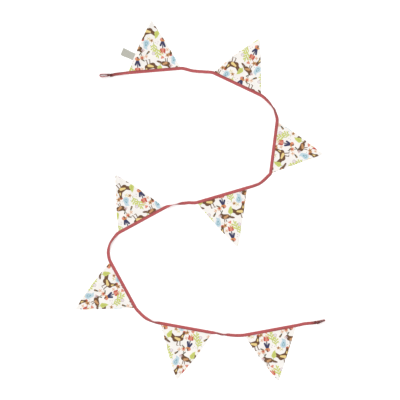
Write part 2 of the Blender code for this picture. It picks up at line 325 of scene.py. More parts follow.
# Soft lights: the direction that each comes from, and the degrees over which it is spread.
LAMPS = table(
    "name x y z spread strength",
    ("key", -1.7, 1.6, 2.0, 40, 1.15),
    ("top", 0.2, -0.2, 2.0, 60, 0.35),
)

# How each cloth looks: its colour is uneven from low to high, in clouds of that scale. pitch is that of two
# threads of its weave and deep how far they stand out, both in millimetres.
Look = namedtuple("Look", "name roughness sheen scale low high pitch deep strength")
COTTON = Look("printed_cotton", 0.9, 0.08, 0.02, 0.93, 1.03, 0.7, 0.06, 0.5)
TAPE = Look("red_tape", 0.85, 0.15, 0.09, 0.78, 1.18, 0.62, 0.07, 0.6)
SATIN = Look("label_satin", 0.5, 0.1, 0.3, 0.78, 1.14, 0.4, 0.03, 0.4)


def place(row):
    """A table row's x and y in metres."""
    return Vector((row.x, row.y)) * MM


def direction(degrees):
    return Vector((math.cos(math.radians(degrees)), math.sin(math.radians(degrees))))


def left_of(along):
    return Vector((-along.y, along.x))


def ease(share):
    """0 to 1, level at both ends, for a number or an array."""
    share = np.clip(share, 0.0, 1.0)
    return share * share * (3 - 2 * share)


def ripple(values, row, times=1):
    """A sine along the values, with the row's phase taken so many times."""
    return row.height * np.sin(2 * math.pi * values / (row.length * MM) + row.phase * times)


def ripples(values, rows, times=1):
    return sum(ripple(values, row, times) for row in rows)


def flag_ends(flag):
    half = direction(flag.heading) * FLAG_WIDTH / 2
    return place(flag) - half, place(flag) + half


# A place on the tape's run, with its direction and its roll.
Knot = namedtuple("Knot", "point along roll")


def knot_of(row, point):
    return Knot(point, direction(row.heading), row.roll)


def free_knots(after):
    """The knots of the free tape after a flag, from that flag or root to the next."""
    begin, end = knot_of(START, place(START)), knot_of(FINISH, place(FINISH))
    if after > 0:
        begin = knot_of(FLAGS[after - 1], flag_ends(FLAGS[after - 1])[1])
    if after < len(FLAGS):
        end = knot_of(FLAGS[after], flag_ends(FLAGS[after])[0])
    passed = [Knot(place(row), None, row.roll) for row in PASSES if row.after == after]
    knots = [begin, *passed, end]
    for index in range(1, len(knots) - 1):
        through = (knots[index + 1].point - knots[index - 1].point).normalized()
        knots[index] = knots[index]._replace(along=through)
    return knots


def curve_point(begin, end, share):
    """A point of the smooth curve between two knots."""
    reach = (end.point - begin.point).length / 3
    near, far = begin.point + begin.along * reach, end.point - end.along * reach
    rest = 1 - share
    early = rest**3 * begin.point + 3 * rest**2 * share * near
    return early + 3 * rest * share**2 * far + share**3 * end.point


def free_run(after):
    """Points and rolls of the free tape after a flag, up to and with the next flag's first point."""
    knots = free_knots(after)
    points, rolls = [knots[0].point], [knots[0].roll]
    for begin, end in zip(knots, knots[1:]):
        steps = math.ceil((end.point - begin.point).length / TAPE_STEP)
        for step in range(1, steps + 1):
            points.append(curve_point(begin, end, step / steps))
            rolls.append(begin.roll + (end.roll - begin.roll) * float(ease(step / steps)))
    return points, rolls


# The tape's run as arrays with a row for each cross-section: its middle seen from above, its roll in
# radians, half the gap in its fold, its width as a share, and its length so far.
Run = namedtuple("Run", "point roll gap width travelled")


def lengths_along(points):
    steps = np.linalg.norm(np.diff(points, axis=0), axis=1)
    return np.concatenate([[0.0], np.cumsum(steps)])


def directions(points):
    """The way along a run and the way to its left, at each of its points."""
    forward = np.gradient(points, axis=0)
    forward /= np.linalg.norm(forward, axis=1)[:, None]
    return forward, np.stack([-forward[:, 1], forward[:, 0]], axis=1)


def tape_run():
    """Every cross-section of the tape. It wavers a little where it lies free."""
    points, rolls, held = [], [], []
    for after in range(len(FLAGS) + 1):
        run, run_rolls = free_run(after)
        points += run
        rolls += run_rolls
        held += [False] * len(run)
        if after < len(FLAGS):
            begin, end = flag_ends(FLAGS[after])
            steps = math.ceil(FLAG_WIDTH / TAPE_STEP)
            points += [begin.lerp(end, step / steps) for step in range(1, steps)]
            rolls += [FLAGS[after].roll] * (steps - 1)
            held += [True] * (steps - 1)
    points, held = np.array(points), np.array(held)
    travelled = lengths_along(points)
    fixed = np.concatenate([[0.0, travelled[-1]], travelled[held]])
    away = np.abs(travelled[:, None] - fixed[None, :]).min(axis=1)
    from_flag = np.abs(travelled[:, None] - travelled[held][None, :]).min(axis=1)
    loose = ease(away / LOOSE)
    waver = ripples(travelled, TAPE_WAVER) * loose * MM
    points = points + directions(points)[1] * waver[:, None]
    rolls = np.radians(np.array(rolls) + ripples(travelled, TAPE_ROCK) * loose)
    parted = FLAG_TUCKED + CLEAR
    gap = parted + (TAPE_CLOSED - parted) * ease(from_flag / TAPE_PARTS)
    return Run(points, rolls, gap, 1 + ripples(travelled, TAPE_SWELL), travelled)


# A cross-section's own directions in space: across grows towards the open edge.
Frames = namedtuple("Frames", "middle along across up")


def run_frames(run):
    along, side = [np.column_stack([way, np.zeros(len(way))]) for way in directions(run.point)]
    lift = np.array([0.0, 0.0, 1.0])
    cosine, sine = np.cos(run.roll)[:, None], np.sin(run.roll)[:, None]
    across = side * cosine - lift * sine
    up = lift * cosine + side * sine
    thick = (run.gap + TAPE_LEG)[:, None]
    height = TAPE_WIDTH / 2 * np.abs(sine) + thick * np.abs(cosine)
    middle = np.concatenate([run.point, height], axis=1)
    return Frames(middle, along, across, up)


# Half of the tape's face, from its open edge to its fold: puff is how far the cloth stands out there. It is
# drawn in along the stitches.
FACES = table(
    "across puff",
    (5.9, -0.03),
    (5.0, 0.0),
    (4.25, -0.13),
    (3.5, 0.0),
    (1.4, 0.07),
    (-1.4, 0.08),
    (-3.6, 0.03),
)
FOLD_TURNS = (90, 60, 30, 0, -30, -60, -90)


def band_outline(gap):
    """The folded tape's cross-section as arrays of across and up, a row for each cross-section: the tip of
    the upper leg, the outer face round the fold, the tip of the lower leg, and the inner face back."""
    half, outer = TAPE_WIDTH / 2, gap + TAPE_LEG
    faces = [(np.full_like(gap, face.across * MM), face.puff * MM) for face in FACES]
    turns = [math.radians(turn) for turn in FOLD_TURNS]
    outside = [(a, outer + puff) for a, puff in faces]
    outside += [(outer * (1 - math.cos(t)) - half, outer * math.sin(t)) for t in turns]
    outside += [(a, -outer - puff) for a, puff in reversed(faces)]
    inside = [(a, gap) for a, puff in faces]
    inside += [(TAPE_LEG + gap * (1 - math.cos(t)) - half, gap * math.sin(t)) for t in turns]
    inside += [(a, -gap) for a, puff in reversed(faces)]
    tip = np.full_like(gap, half)
    middle = gap + TAPE_LEG / 2
    ring = [(tip, middle), *outside, (tip, -middle), *reversed(inside)]
    across, up = zip(*ring)
    return np.stack(across, axis=1), np.stack(up, axis=1)


def ring_quads(rings):
    """The quads between closed rings of corners that follow each other."""
    faces = []
    for near, far in zip(rings, rings[1:]):
        for index in range(len(near)):
            after = (index + 1) % len(near)
            faces.append((near[index], near[after], far[after], far[index]))
    return faces


def add_object(name, data):
    obj = bpy.data.objects.new(name, data)
    bpy.context.scene.collection.objects.link(obj)
    return obj


def mesh_object(name, verts, faces, material):
    """A smooth object. Nothing of it sinks below the surface."""
    verts = np.array(verts)
    verts[:, 2] = np.maximum(verts[:, 2], 0.0)
    mesh = bpy.data.meshes.new(name)
    mesh.from_pydata(verts.tolist(), [], faces)
    work = bmesh.new()
    work.from_mesh(mesh)
    bmesh.ops.recalc_face_normals(work, faces=work.faces)
    work.to_mesh(mesh)
    work.free()
    mesh.polygons.foreach_set("use_smooth", [True] * len(mesh.polygons))
    mesh.materials.append(material)
    return add_object(name, mesh)


def set_attribute(obj, name, values):
    """Keeps a number or a vector with each vertex."""
    kind, field = ("FLOAT", "value") if values.ndim == 1 else ("FLOAT_VECTOR", "vector")
    attribute = obj.data.attributes.new(name, kind, "POINT")
    attribute.data.foreach_set(field, values.ravel())


def tape_painted_shade(points, sides):
    """How far painted shade darkens the tape at each place, sides growing from -1 at its fold to 1 at its
    open edge.
    """
    dark = np.zeros(len(points))
    for painted_shade in PAINTED_SHADES:
        away = np.linalg.norm(points[:, :2] - np.array(place(painted_shade)), axis=1)
        share = np.exp(-((away / (painted_shade.along * MM)) ** 2))
        if painted_shade.side:
            share = share * ease(0.5 + sides * painted_shade.side * SHADE_STEEP)
        dark = np.maximum(dark, painted_shade.amount * share)
    return dark


def build_band(name, run, material):
    """Sweeps the folded tape's cross-section along a run."""
    frames = run_frames(run)
    across, up = band_outline(run.gap)
    across = across * run.width[:, None]
    verts = frames.middle[:, None, :] + frames.across[:, None, :] * across[:, :, None]
    verts = verts + frames.up[:, None, :] * up[:, :, None]
    count, ring = across.shape
    faces = ring_quads([range(row * ring, (row + 1) * ring) for row in range(count)])
    side = (ring - 2) // 2
    for first in (0, (count - 1) * ring):
        faces.append((first, first + 1, first + ring - 1))
        for index in range(1, side):
            opposite = first + ring - index
            faces.append((first + index, first + index + 1, opposite - 1, opposite))
        faces.append((first + side, first + side + 1, first + side + 2))
    flat = verts.reshape(-1, 3)
    obj = mesh_object(name, flat, faces, material)
    developed = np.concatenate([[0.0], np.cumsum(np.hypot(np.diff(across[0]), np.diff(up[0])))])
    cloth = np.zeros((count, ring, 3))
    cloth[:, :, 0] = run.travelled[:, None] / MM
    cloth[:, :, 1] = developed[None, :] / MM
    set_attribute(obj, "cloth", cloth.reshape(-1, 3))
    # The tape's painted shade, kept with each vertex.
    set_attribute(obj, "painted_shade", tape_painted_shade(flat, (across / (TAPE_WIDTH / 2)).ravel()))
    return obj


def loop_shape(loop):
    """The radius of a loop's tip, and how far its sides run from its neck to there."""
    radius = (loop.eye * MM - LOOP_STRIP) / 2
    return radius, loop.length * MM - radius - LOOP_NECK


def loop_half(loop, out):
    """How far a loop's sides are from its middle line, out from its root."""
    radius, straight = loop_shape(loop)
    share = min(1.0, max(0.0, (out - LOOP_NECK) / straight))
    root = loop.root * MM / 2
    return root + (radius - root) * math.sin(math.pi / 2 * share)


def loop_path(loop):
    """A loop's line from above, as (out, aside) from its root: out along one side, round the tip and back."""
    radius, straight = loop_shape(loop)
    side, tip = [], []
    for step in range(LOOP_STEPS + 1):
        out = LOOP_NECK + straight * step / LOOP_STEPS
        side.append((out, loop_half(loop, out)))
    for step in range(1, LOOP_TIP_STEPS):
        turn = math.pi * step / LOOP_TIP_STEPS
        tip.append((LOOP_NECK + straight + radius * math.sin(turn), radius * math.cos(turn)))
    back = [(out, -half) for out, half in reversed(side)]
    line = [(0, side[0][1]), *side, *tip, *back, (0, -side[0][1])]
    return [(out, aside - (LOOP_STRIP + LOOP_GAP) / 2) for out, aside in line]


def build_loop(loop, out, material):
    """A hanging loop: the tape's end, standing on its edge and turned back on itself."""
    aside = left_of(out)
    root = place(loop) + out * LOOP_GAP / 2
    points = np.array([root + out * o + aside * a for o, a in loop_path(loop)])
    travelled = lengths_along(points)
    roll = np.full(len(points), math.radians(UPRIGHT))
    width = 1 + ripples(travelled, LOOP_SWELL)
    from_tip = np.abs(travelled / travelled[-1] * 2 - 1)
    gap = TAPE_CLOSED + (loop.full * MM / 2 - TAPE_CLOSED) * ease(from_tip * 1.2 - 0.1)
    run = Run(points, roll, gap, width, travelled)
    return build_band(loop.name + "_cloth", run, material), travelled[-1]


def flag_frame(flag):
    """The tape's direction along a flag, and the direction from the tape to the flag's point."""
    along = direction(flag.heading)
    return np.array(along), np.array(left_of(along) * math.cos(math.radians(flag.roll)))


def ridge(u, v, row):
    """How far each u, v lies across and along the line of a fold or crease."""
    line = direction(row.bearing)
    du, dv = u - row.u * MM, v - row.v * MM
    return du * line.y - dv * line.x, du * line.x + dv * line.y


def fold_lift(number, u, v):
    """How far a flag's folds lift it off the surface at u, v."""
    lift = np.zeros_like(u)
    for fold in FOLDS:
        if fold.flag == number:
            off, _ = ridge(u, v, fold)
            lift = lift + fold.height * MM * np.exp(-((off / (fold.spread * MM)) ** 2))
    return lift * ease((v - SETTLE) / FOLDS_FADE)


def flag_sides(flag, v):
    """Where a flag's two sides lie at v, as u values. Inside the tape they run straight."""
    edge, drop = TAPE_WIDTH / 2, FLAG_DROP + flag.longer * MM
    share = np.maximum(0.0, (v - edge) / (drop - edge))
    middle, bow = flag.sway * MM * share, 4 * share * (1 - share) * MM
    half = (FLAG_WIDTH + (FLAG_POINT - FLAG_WIDTH) * share) / 2
    return middle - half - flag.left * bow, middle + half + flag.right * bow


def small_lift(number, u, v, from_side):
    """The small unevenness of a flag's cloth: creases, puckers along its seams and a slow undulation."""
    lift = np.zeros_like(u)
    for crease in CREASES:
        if crease.flag == number:
            off, along = ridge(u, v, crease)
            shape = np.exp(-((off / (crease.spread * MM)) ** 2) - (along / (crease.length * MM)) ** 2)
            lift = lift + crease.height * MM * shape
    pull = 0.5 + ripple(v, PUCKERS[0], number) + ripple(v + 0.3 * u, PUCKERS[1], number)
    swell = ripple(u + 0.4 * v, SWELLS[0], number) * ripple(v - 0.3 * u, SWELLS[1], number)
    lift = lift + PUCKER * pull * np.exp(-from_side / PUCKER_REACH) + SWELL * (0.5 + 0.5 * swell)
    return lift * ease((v - SETTLE / 2) / FOLDS_FADE)


# A sheet of cloth with a lower and an upper side, as arrays with a row for each corner of its plan. ring
# lists the corners round its edge, and outward the way out of the cloth there.
Plan = namedtuple("Plan", "point low high faces ring outward")


def build_sheet(name, plan, material):
    """Both sides of a sheet with a rounded edge between them. Returns the object and, for each of its
    vertices, the corner of the plan that it belongs to."""
    point = np.array(plan.point)
    radius = (plan.high - plan.low)[plan.ring] / 2
    edge = point[plan.ring]
    point[plan.ring] = edge - plan.outward * radius[:, None]
    count, rim = len(point), len(plan.ring)
    verts = [np.column_stack([point, plan.high]), np.column_stack([point, plan.low])]
    middle = (plan.high + plan.low)[plan.ring] / 2
    for turn in RIM_TURNS:
        reach = radius * (math.cos(math.radians(turn)) - 1)
        lift = radius * math.sin(math.radians(turn))
        verts.append(np.column_stack([edge + plan.outward * reach[:, None], middle + lift]))
    rims = [range(count * 2 + k * rim, count * 2 + (k + 1) * rim) for k in range(len(RIM_TURNS))]
    faces = [tuple(face) for face in plan.faces]
    faces += [tuple(count + index for index in reversed(face)) for face in plan.faces]
    faces += ring_quads([plan.ring.tolist(), *rims, (count + plan.ring).tolist()])
    source = np.concatenate([np.arange(count), np.arange(count), np.tile(plan.ring, len(RIM_TURNS))])
    return mesh_object(name, np.concatenate(verts), faces, material), source


def outward_of(points, ring):
    """The way out of the cloth at each corner round its edge, square to the edge."""
    loop = points[ring]
    chord = np.roll(loop, -1, axis=0) - np.roll(loop, 1, axis=0)
    chord /= np.linalg.norm(chord, axis=1)[:, None]
    out = np.stack([chord[:, 1], -chord[:, 0]], axis=1)
    x, y = loop[:, 0], loop[:, 1]
    turns_left = np.sum(x * np.roll(y, -1) - y * np.roll(x, -1)) > 0
    return out if turns_left else -out


def flag_grid():
    """Row and cell share of each corner of a flag, faces between them, and the corners round the edge."""
    first = [row * (row + 3) // 2 for row in range(FLAG_ROWS)]
    rows = np.concatenate([np.full(row + 2, row) for row in range(FLAG_ROWS)])
    cells = np.concatenate([np.linspace(0, 1, row + 2) for row in range(FLAG_ROWS)])
    faces = []
    for row in range(FLAG_ROWS - 1):
        here, wider = first[row], first[row + 1]
        for index in range(row + 2):
            faces.append((here + index, wider + index, wider + index + 1))
        for index in range(row + 1):
            faces.append((here + index, wider + index + 1, here + index + 1))
    last = FLAG_ROWS - 1
    top = list(range(first[last] + 1, first[last] + last + 1))
    right = [first[row] + row + 1 for row in range(last, -1, -1)]
    return rows, cells, faces, np.array([*first, *top, *right])


def build_flag(number, grid, material):
    """One flag's cloth. Returns it and its cut area."""
    flag = FLAGS[number - 1]
    rows, cells, faces, ring = grid
    drop, top = FLAG_DROP + flag.longer * MM, TAPE_WIDTH / 2 - FLAG_TUCK
    v = drop + (top - drop) * rows / (FLAG_ROWS - 1)
    left, right = flag_sides(flag, v)
    uneven = ease((v - SETTLE) / FOLDS_FADE) * MM
    left = left + uneven * ripples(v, LEFT_SIDE, number)
    right = right + uneven * ripples(v, RIGHT_SIDE, number)
    u = left + (right - left) * cells
    from_side = np.minimum(u - left, right - u) * math.cos(math.atan(FLAG_WIDTH / 2 / FLAG_DROP))
    along, down = flag_frame(flag)
    point = np.array(place(flag)) + along * u[:, None] + down * v[:, None]
    leaves_tape = TAPE_WIDTH / 2 + CLEAR
    settled = ease((v - leaves_tape) / (SETTLE - leaves_tape))
    seam = ease((from_side + 0.5 * MM) / MM) * (1 - ease((from_side - SEAM_DEEP) / SEAM_STEP))
    thick = 2 * FLAG_TUCKED + (FLAG_CLOTH + SEAM_EXTRA * seam - 2 * FLAG_TUCKED) * settled
    low = (TAPE_LEG + CLEAR) * (1 - settled) + fold_lift(number, u, v) + small_lift(number, u, v, from_side)
    plan = Plan(point, low, low + thick, faces, ring, outward_of(point, ring))
    obj, source = build_sheet(f"flag_{number}_cloth", plan, material)
    turned = 1 if flag.roll == TURNED else -1
    offset = CHARTS[number - 1]
    chart = np.column_stack([turned * u / MM + offset.x, offset.y - v / MM, np.zeros(len(u))])
    set_attribute(obj, "chart", chart[source])
    levels = np.linspace(top, drop, FLAG_ROWS)
    lefts, rights = flag_sides(flag, levels)
    return obj, float(np.mean(rights - lefts)) * (drop - top)


# Where each flag was cut from the printed cloth.
CHARTS = table(
    "x y",
    (12, 52),
    (86, 29),
    (56, 71),
    (81, 46),
    (18, 41),
    (62, 84),
    (54, 82),
    (-6, 145),
)


def build_label(material):
    """The blank label in the first flag's side seam, folded double at its free end."""
    flag = FLAGS[0]
    along, down = flag_frame(flag)
    low, middle, high = [
        Vector((float(flag_sides(flag, v)[0]), v))
        for v in (LABEL_LEVEL - LABEL_WIDTH / 2, LABEL_LEVEL, LABEL_LEVEL + LABEL_WIDTH / 2)
    ]
    up_edge = (high - low).normalized()
    out = left_of(up_edge)
    row, cell = np.meshgrid(np.arange(LABEL_ROWS + 1), np.arange(LABEL_CELLS + 1), indexing="ij")
    free, share = row.ravel() / LABEL_ROWS, cell.ravel() / LABEL_CELLS * 2 - 1
    away = LABEL_LENGTH * free
    half = LABEL_WIDTH / 2 + ripples(away, LABEL_NIP) * MM + LABEL_FLARE * free
    seam = np.array(middle)[None, :] + np.outer(share * half + LABEL_SKEW * free, np.array(up_edge))
    spot = seam + np.outer(away + LABEL_CLEAR, np.array(out))
    point = np.array(place(flag)) + along * spot[:, :1] + down * spot[:, 1:]
    lift = fold_lift(1, seam[:, 0], seam[:, 1]) * (1 - ease(free))
    curl = LABEL_CURL * (0.8 + 0.2 * share) * ease((free - LABEL_FLAT) / (1 - LABEL_FLAT))
    bend = LABEL_BEND * (0.5 + ripples(away + share * 4 * MM, LABEL_WAVE))
    low_side = lift + curl + bend
    doubled = ease((away - LABEL_LENGTH + LABEL_HEM) / (0.75 * LABEL_HEM))
    thick = LABEL_THICK + (LABEL_FOLD - LABEL_THICK) * doubled
    grid = np.arange(row.size).reshape(row.shape)
    faces = np.stack([grid[:-1, :-1], grid[:-1, 1:], grid[1:, 1:], grid[1:, :-1]], axis=-1).reshape(-1, 4)
    ring = np.concatenate([grid[0], grid[1:, -1], grid[-1, -2::-1], grid[-2:0:-1, 0]])
    plan = Plan(point, low_side, low_side + thick, faces.tolist(), ring, outward_of(point, ring))
    obj, source = build_sheet("label_cloth", plan, material)
    chart = np.column_stack([share * LABEL_WIDTH / 2 / MM, away / MM, np.zeros(len(away))])
    set_attribute(obj, "cloth", chart[source])
    return obj


def add_thread(verts, faces, rings):
    """A closed length of thread. Each of its rings is a middle, two directions across it and a radius."""
    rows = []
    for middle, one, other, radius in rings:
        rows.append(range(len(verts), len(verts) + THREAD_SIDES))
        for side in range(THREAD_SIDES):
            turn = 2 * math.pi * side / THREAD_SIDES
            verts.append(middle + (one * math.cos(turn) + other * math.sin(turn)) * radius)
    faces += [*ring_quads(rows), tuple(rows[0]), tuple(rows[-1])]


def build_stitches(run, material):
    """The row of stitches along the tape's open edge, on both of its faces."""
    frames = run_frames(run)
    places = np.arange(STITCH_ENDS, run.travelled[-1] - STITCH_ENDS, STITCH_PITCH)

    def at(values):
        return np.column_stack([np.interp(places, run.travelled, values[:, k]) for k in range(3)])

    middle, along, across, up = [at(values) for values in frames]
    outer = np.interp(places, run.travelled, run.gap) + TAPE_LEG - STITCH_SINK + 0.6 * STITCH_RADIUS
    verts, faces = [], []
    for face in (1, -1):
        base = middle + across * (TAPE_WIDTH / 2 - STITCH_INSET) + up * (face * outer)[:, None]
        for spot, forward, side, lift in zip(base, along, across, up):
            rings = []
            for bead in BEADS:
                centre = spot + forward * STITCH_LENGTH * bead.along + lift * face * STITCH_RADIUS * bead.rise
                rings.append((centre, side, lift, STITCH_RADIUS * bead.thick))
            add_thread(verts, faces, rings)
    return mesh_object("tape_stitches", verts, faces, material)


def both_halves(overs):
    """A thread's whole line from its first half, which ends in the middle."""
    return [*overs, *[Over(-over.across, over.up) for over in reversed(overs[:-1])]]


def tape_wrap(frames, index):
    """The line of a thread over the tape, at one of its cross-sections."""
    face = 1 if frames.up[index][2] > 0 else -1
    half, thick = TAPE_WIDTH / 2, (TAPE_LEG + TAPE_CLOSED) * face
    across, up = frames.across[index] * half, frames.up[index] * thick
    line = both_halves(TAPE_OVERS)
    return [Vector(frames.middle[index] + across * over.across + up * over.up) for over in line]


def loop_wrap(loop, out, reach):
    """The line of a thread over both sides of a loop, reach out from its root."""
    aside, lift = Vector((*left_of(out), 0)), Vector((0, 0, 1))
    base = Vector((*(place(loop) + out * reach), 0)) - aside * (LOOP_STRIP + LOOP_GAP) / 2
    half = loop_half(loop, reach) + TAPE_LEG + WRAP_ASIDE
    high = TAPE_WIDTH + WRAP_ABOVE
    line = both_halves(LOOP_OVERS)
    return [base + aside * (half * over.across) + lift * (high * over.up) for over in line]


def build_wraps(loop, out, run, material):
    """Thread lashed over the tape's end and the root of its loop."""
    frames = run_frames(run)
    from_end = run.travelled if loop is START else run.travelled[-1] - run.travelled
    paths = []
    for number in range(1, WRAPS_BEFORE + 1):
        paths.append(tape_wrap(frames, int(np.argmin(np.abs(from_end - number * WRAP_PITCH * 2)))))
    for number in range(WRAPS_AFTER + 1):
        paths.append(loop_wrap(loop, out, (number + 0.3) * WRAP_PITCH))
    out = Vector((*out, 0))
    verts, faces = [], []
    for number, path in enumerate(paths):
        rings = []
        for index, point in enumerate(path):
            tangent = (path[min(index + 1, len(path) - 1)] - path[max(index - 1, 0)]).normalized()
            lean = out * (WRAP_LEAN * math.sin(2.3 * number + 0.5 * index))
            rings.append((point + lean, out, tangent.cross(out).normalized(), WRAP_RADIUS))
        add_thread(verts, faces, rings)
    return mesh_object(loop.name + "_thread", verts, faces, material)


# Shader maths. Each helper but feed adds one node and returns its output.


def feed(tree, sockets, values):
    for socket, value in zip(sockets, values):
        if isinstance(value, bpy.types.NodeSocket):
            tree.links.new(value, socket)
        else:
            socket.default_value = value


def number_node(tree, operation, *values, clamp=False):
    node = tree.nodes.new("ShaderNodeMath")
    node.operation = operation
    node.use_clamp = clamp
    feed(tree, node.inputs, values)
    return node.outputs["Value"]


def vector_node(tree, operation, *values):
    node = tree.nodes.new("ShaderNodeVectorMath")
    node.operation = operation
    feed(tree, node.inputs, values)
    return node.outputs["Value" if operation in ("DOT_PRODUCT", "LENGTH", "DISTANCE") else "Vector"]


def scaled(tree, vector, share):
    return vector_node(tree, "SCALE", vector, (0, 0, 0), (0, 0, 0), share)


def mix_colour(tree, share, below, above):
    node = tree.nodes.new("ShaderNodeMix")
    node.data_type = "RGBA"
    feed(tree, (node.inputs[0], node.inputs[6], node.inputs[7]), (share, below, above))
    return node.outputs[2]


def split_node(tree, vector):
    node = tree.nodes.new("ShaderNodeSeparateXYZ")
    tree.links.new(vector, node.inputs[0])
    return node.outputs


def attribute_node(tree, name, output):
    node = tree.nodes.new("ShaderNodeAttribute")
    node.attribute_name = name
    return node.outputs[output]


# The print. A motif is a list of strokes, painted in order, in millimetres from its own middle. A Dab runs
# from one round end to another, and its thickness changes evenly between them.
Dab = namedtuple("Dab", "ink x1 y1 x2 y2 r1 r2")
Star = namedtuple("Star", "ink x y tip inner points")
Ring = namedtuple("Ring", "ink x y radius thick")


def dot(ink, x, y, radius):
    return Dab(ink, x, y, x, y, radius, radius)


SIDES = ((-1, 0), (1, 0), (0, -1), (0, 1))
MOTIFS = {
    "hen": (
        Dab("brown", -12, -2, 9, 2, 10.5, 9),
        Dab("brown", 9, 6, 17, 20, 7, 4.2),
        Dab("brown", 17, 22, 19, 23, 5.2, 4.8),
        Dab("brown", -16, 2, -28, 17, 6, 2.4),
        Dab("brown", -15, -1, -32, 8, 6, 2.2),
        Dab("brown", -3, -10, -4, -24, 1.8, 1.4),
        Dab("brown", 6, -8, 8, -24, 1.8, 1.4),
        Dab("brown", -4, -24, 2, -24.5, 1.3, 0.9),
        Dab("brown", 8, -24, 14, -24.5, 1.3, 0.9),
        Dab("yellow", -12, 2, 2, -3, 3.2, 5.2),
        Dab("yellow", 12, 8, 14, 14, 2.6, 1.8),
        Dab("orange", 23, 22, 28, 20.5, 2.2, 0.8),
        Dab("red", 15, 28, 20, 28.5, 2.2, 2.4),
    ),
    "finch": (
        Dab("brown", -6, 2, 6, 5, 6.4, 6.8),
        Dab("brown", 9, 10, 10, 11, 5, 4.8),
        Dab("brown", -8, 1, -23, -6, 4.6, 2),
        Dab("brown", 1, -4, 0, -12, 1.2, 1),
        Dab("brown", 5, -3, 6, -12, 1.2, 1),
        Dab("tan", -7, 4, 2, 1, 2.2, 3.6),
        Dab("orange", 14, 12, 18.5, 10.5, 1.8, 0.6),
    ),
    "sprig": (
        Dab("leaf", 0, -25, 1, 18, 1.5, 1.1),
        Dab("lime", 2, -15, 10, -7, 2.2, 3.9),
        Dab("lime", -2, -10, -10, -2, 2.2, 3.9),
        Dab("lime", 2, -3, 10, 5, 2.2, 3.9),
        Dab("lime", -1, 3, -8.5, 11, 2.1, 3.6),
        Dab("lime", 2, 9, 8, 16, 2, 3.2),
        Dab("lime", 1, 17, 1, 24, 2.8, 1.8),
    ),
    "leaf": (
        Dab("leaf", -1, -26, 0, -8, 1.3, 1.5),
        Dab("lime", 0, -5, 1, 9, 11.5, 7),
        Dab("lime", 1, 9, 4, 21, 7, 1),
        Dab("leaf", 0, -10, 2, 14, 1.1, 0.6),
        Dab("leaf", 0, -6, -6, 0, 0.8, 0.5),
        Dab("leaf", 0, -2, 7, 4, 0.8, 0.5),
    ),
    "tulip": (
        Dab("navy", 0, 6, 0, -16, 1.8, 1.6),
        Dab("navy", -1, -17, -7, 0, 3.2, 3.4),
        Dab("navy", 1, -17, 7, -3, 3.2, 3.2),
        Dab("orange", -4.5, -20, 4.5, -20, 3.4, 3.4),
        Dab("brown", 0, -24, 0, -26, 4.2, 3.2),
        Dab("red", -4.6, 12, -6.5, 22, 5, 2.2),
        Dab("red", 4.6, 12, 6.5, 22, 5, 2.2),
        Dab("coral", 0, 11, 0, 23, 4.6, 2),
    ),
    "poppy": (
        Dab("olive", 0, 4, 1, -20, 1.4, 1.2),
        Dab("olive", 1, -12, 8, -4, 1.4, 2.6),
        Star("peach", 0, 11, 12, 8.4, 5),
        dot("red", 0, 11, 4.6),
    ),
    "paisley": (
        Dab("sky", 0, -8, 8, 7, 13, 7.5),
        Dab("sky", 8, 8, 3, 17, 6.5, 2.4),
        Dab("teal", 0, -8, 4, 1, 6, 3),
        Dab("sky", 0, -8, 2, -3, 3.2, 1.8),
        dot("teal", -15, 6, 1.6),
        dot("teal", 17, -12, 1.5),
    ),
    "star": (Star("tan", 0, 0, 12, 5.6, 5), dot("brown", 0, 0, 2.8)),
    "heart": (Dab("coral", -3.6, 3, 0, -5.5, 4, 0.9), Dab("coral", 3.6, 3, 0, -5.5, 4, 0.9)),
    "bud": (
        Dab("olive", -5, -1, 5, 3, 3.8, 2.6),
        Dab("olive", 2, 2, 9, 7, 1.4, 1),
        Dab("tan", -5, 0, -2, 1, 1.6, 1.2),
    ),
    "ring": (Ring("lilac", 0, 0, 5.2, 1.5), dot("grey", 0, 0, 1.4)),
    "dots": (
        dot("lilac", -5, 2, 2),
        dot("grey", 3, 5, 1.5),
        dot("lilac", 5, -4, 1.8),
    ),
    "petals": (
        *[Dab("peach", x * 5.5, y * 5.5, x * 2, y * 2, 2.8, 1.4) for x, y in SIDES],
        dot("tan", 0, 0, 2),
    ),
    "twig": (
        Dab("leaf", -9, -2, 8, 2, 0.9, 0.7),
        Dab("yellow", -5, 1.5, -4, 5, 1.4, 2),
        Dab("yellow", -1, -2, 1, -5.5, 1.4, 2),
        Dab("yellow", 4, 3.5, 6, 7, 1.4, 1.8),
    ),
}

# Where the motifs stand in one repeat. mirror is -1 for a motif that faces the other way.
STAMPS = table(
    "motif x y turn scale mirror",
    ("hen", 30, 34, 3, 1.1, 1),
    ("paisley", 34, 86, 8, 0.95, 1),
    ("tulip", 77, 27, -4, 1.2, 1),
    ("sprig", 99, 50, 6, 0.95, 1),
    ("finch", 71, 93, 0, 1.4, -1),
    ("leaf", 97, 116, -14, 0.85, 1),
    ("sprig", 9, 98, -10, 0.8, -1),
    ("poppy", 58, 126, 6, 0.9, 1),
    ("star", 60, 64, 10, 0.95, 1),
    ("star", 13, 70, -14, 0.75, 1),
    ("heart", 82, 70, 12, 0.9, 1),
    ("bud", 32, 116, 20, 1.0, 1),
    ("bud", 54, 6, -15, 0.8, -1),
    ("ring", 10, 122, 0, 1.0, 1),
    ("petals", 40, 131, 12, 0.9, 1),
    ("petals", 60, 42, 30, 0.8, 1),
    ("twig", 83, 58, 24, 0.9, 1),
    ("twig", 23, 63, -30, 0.9, -1),
    ("heart", 80, 135, -10, 0.75, 1),
    ("dots", 92, 86, 0, 1.0, 1),
    ("dots", 99, 10, 40, 1.0, 1),
    ("ring", 51, 106, 0, 0.85, 1),
)


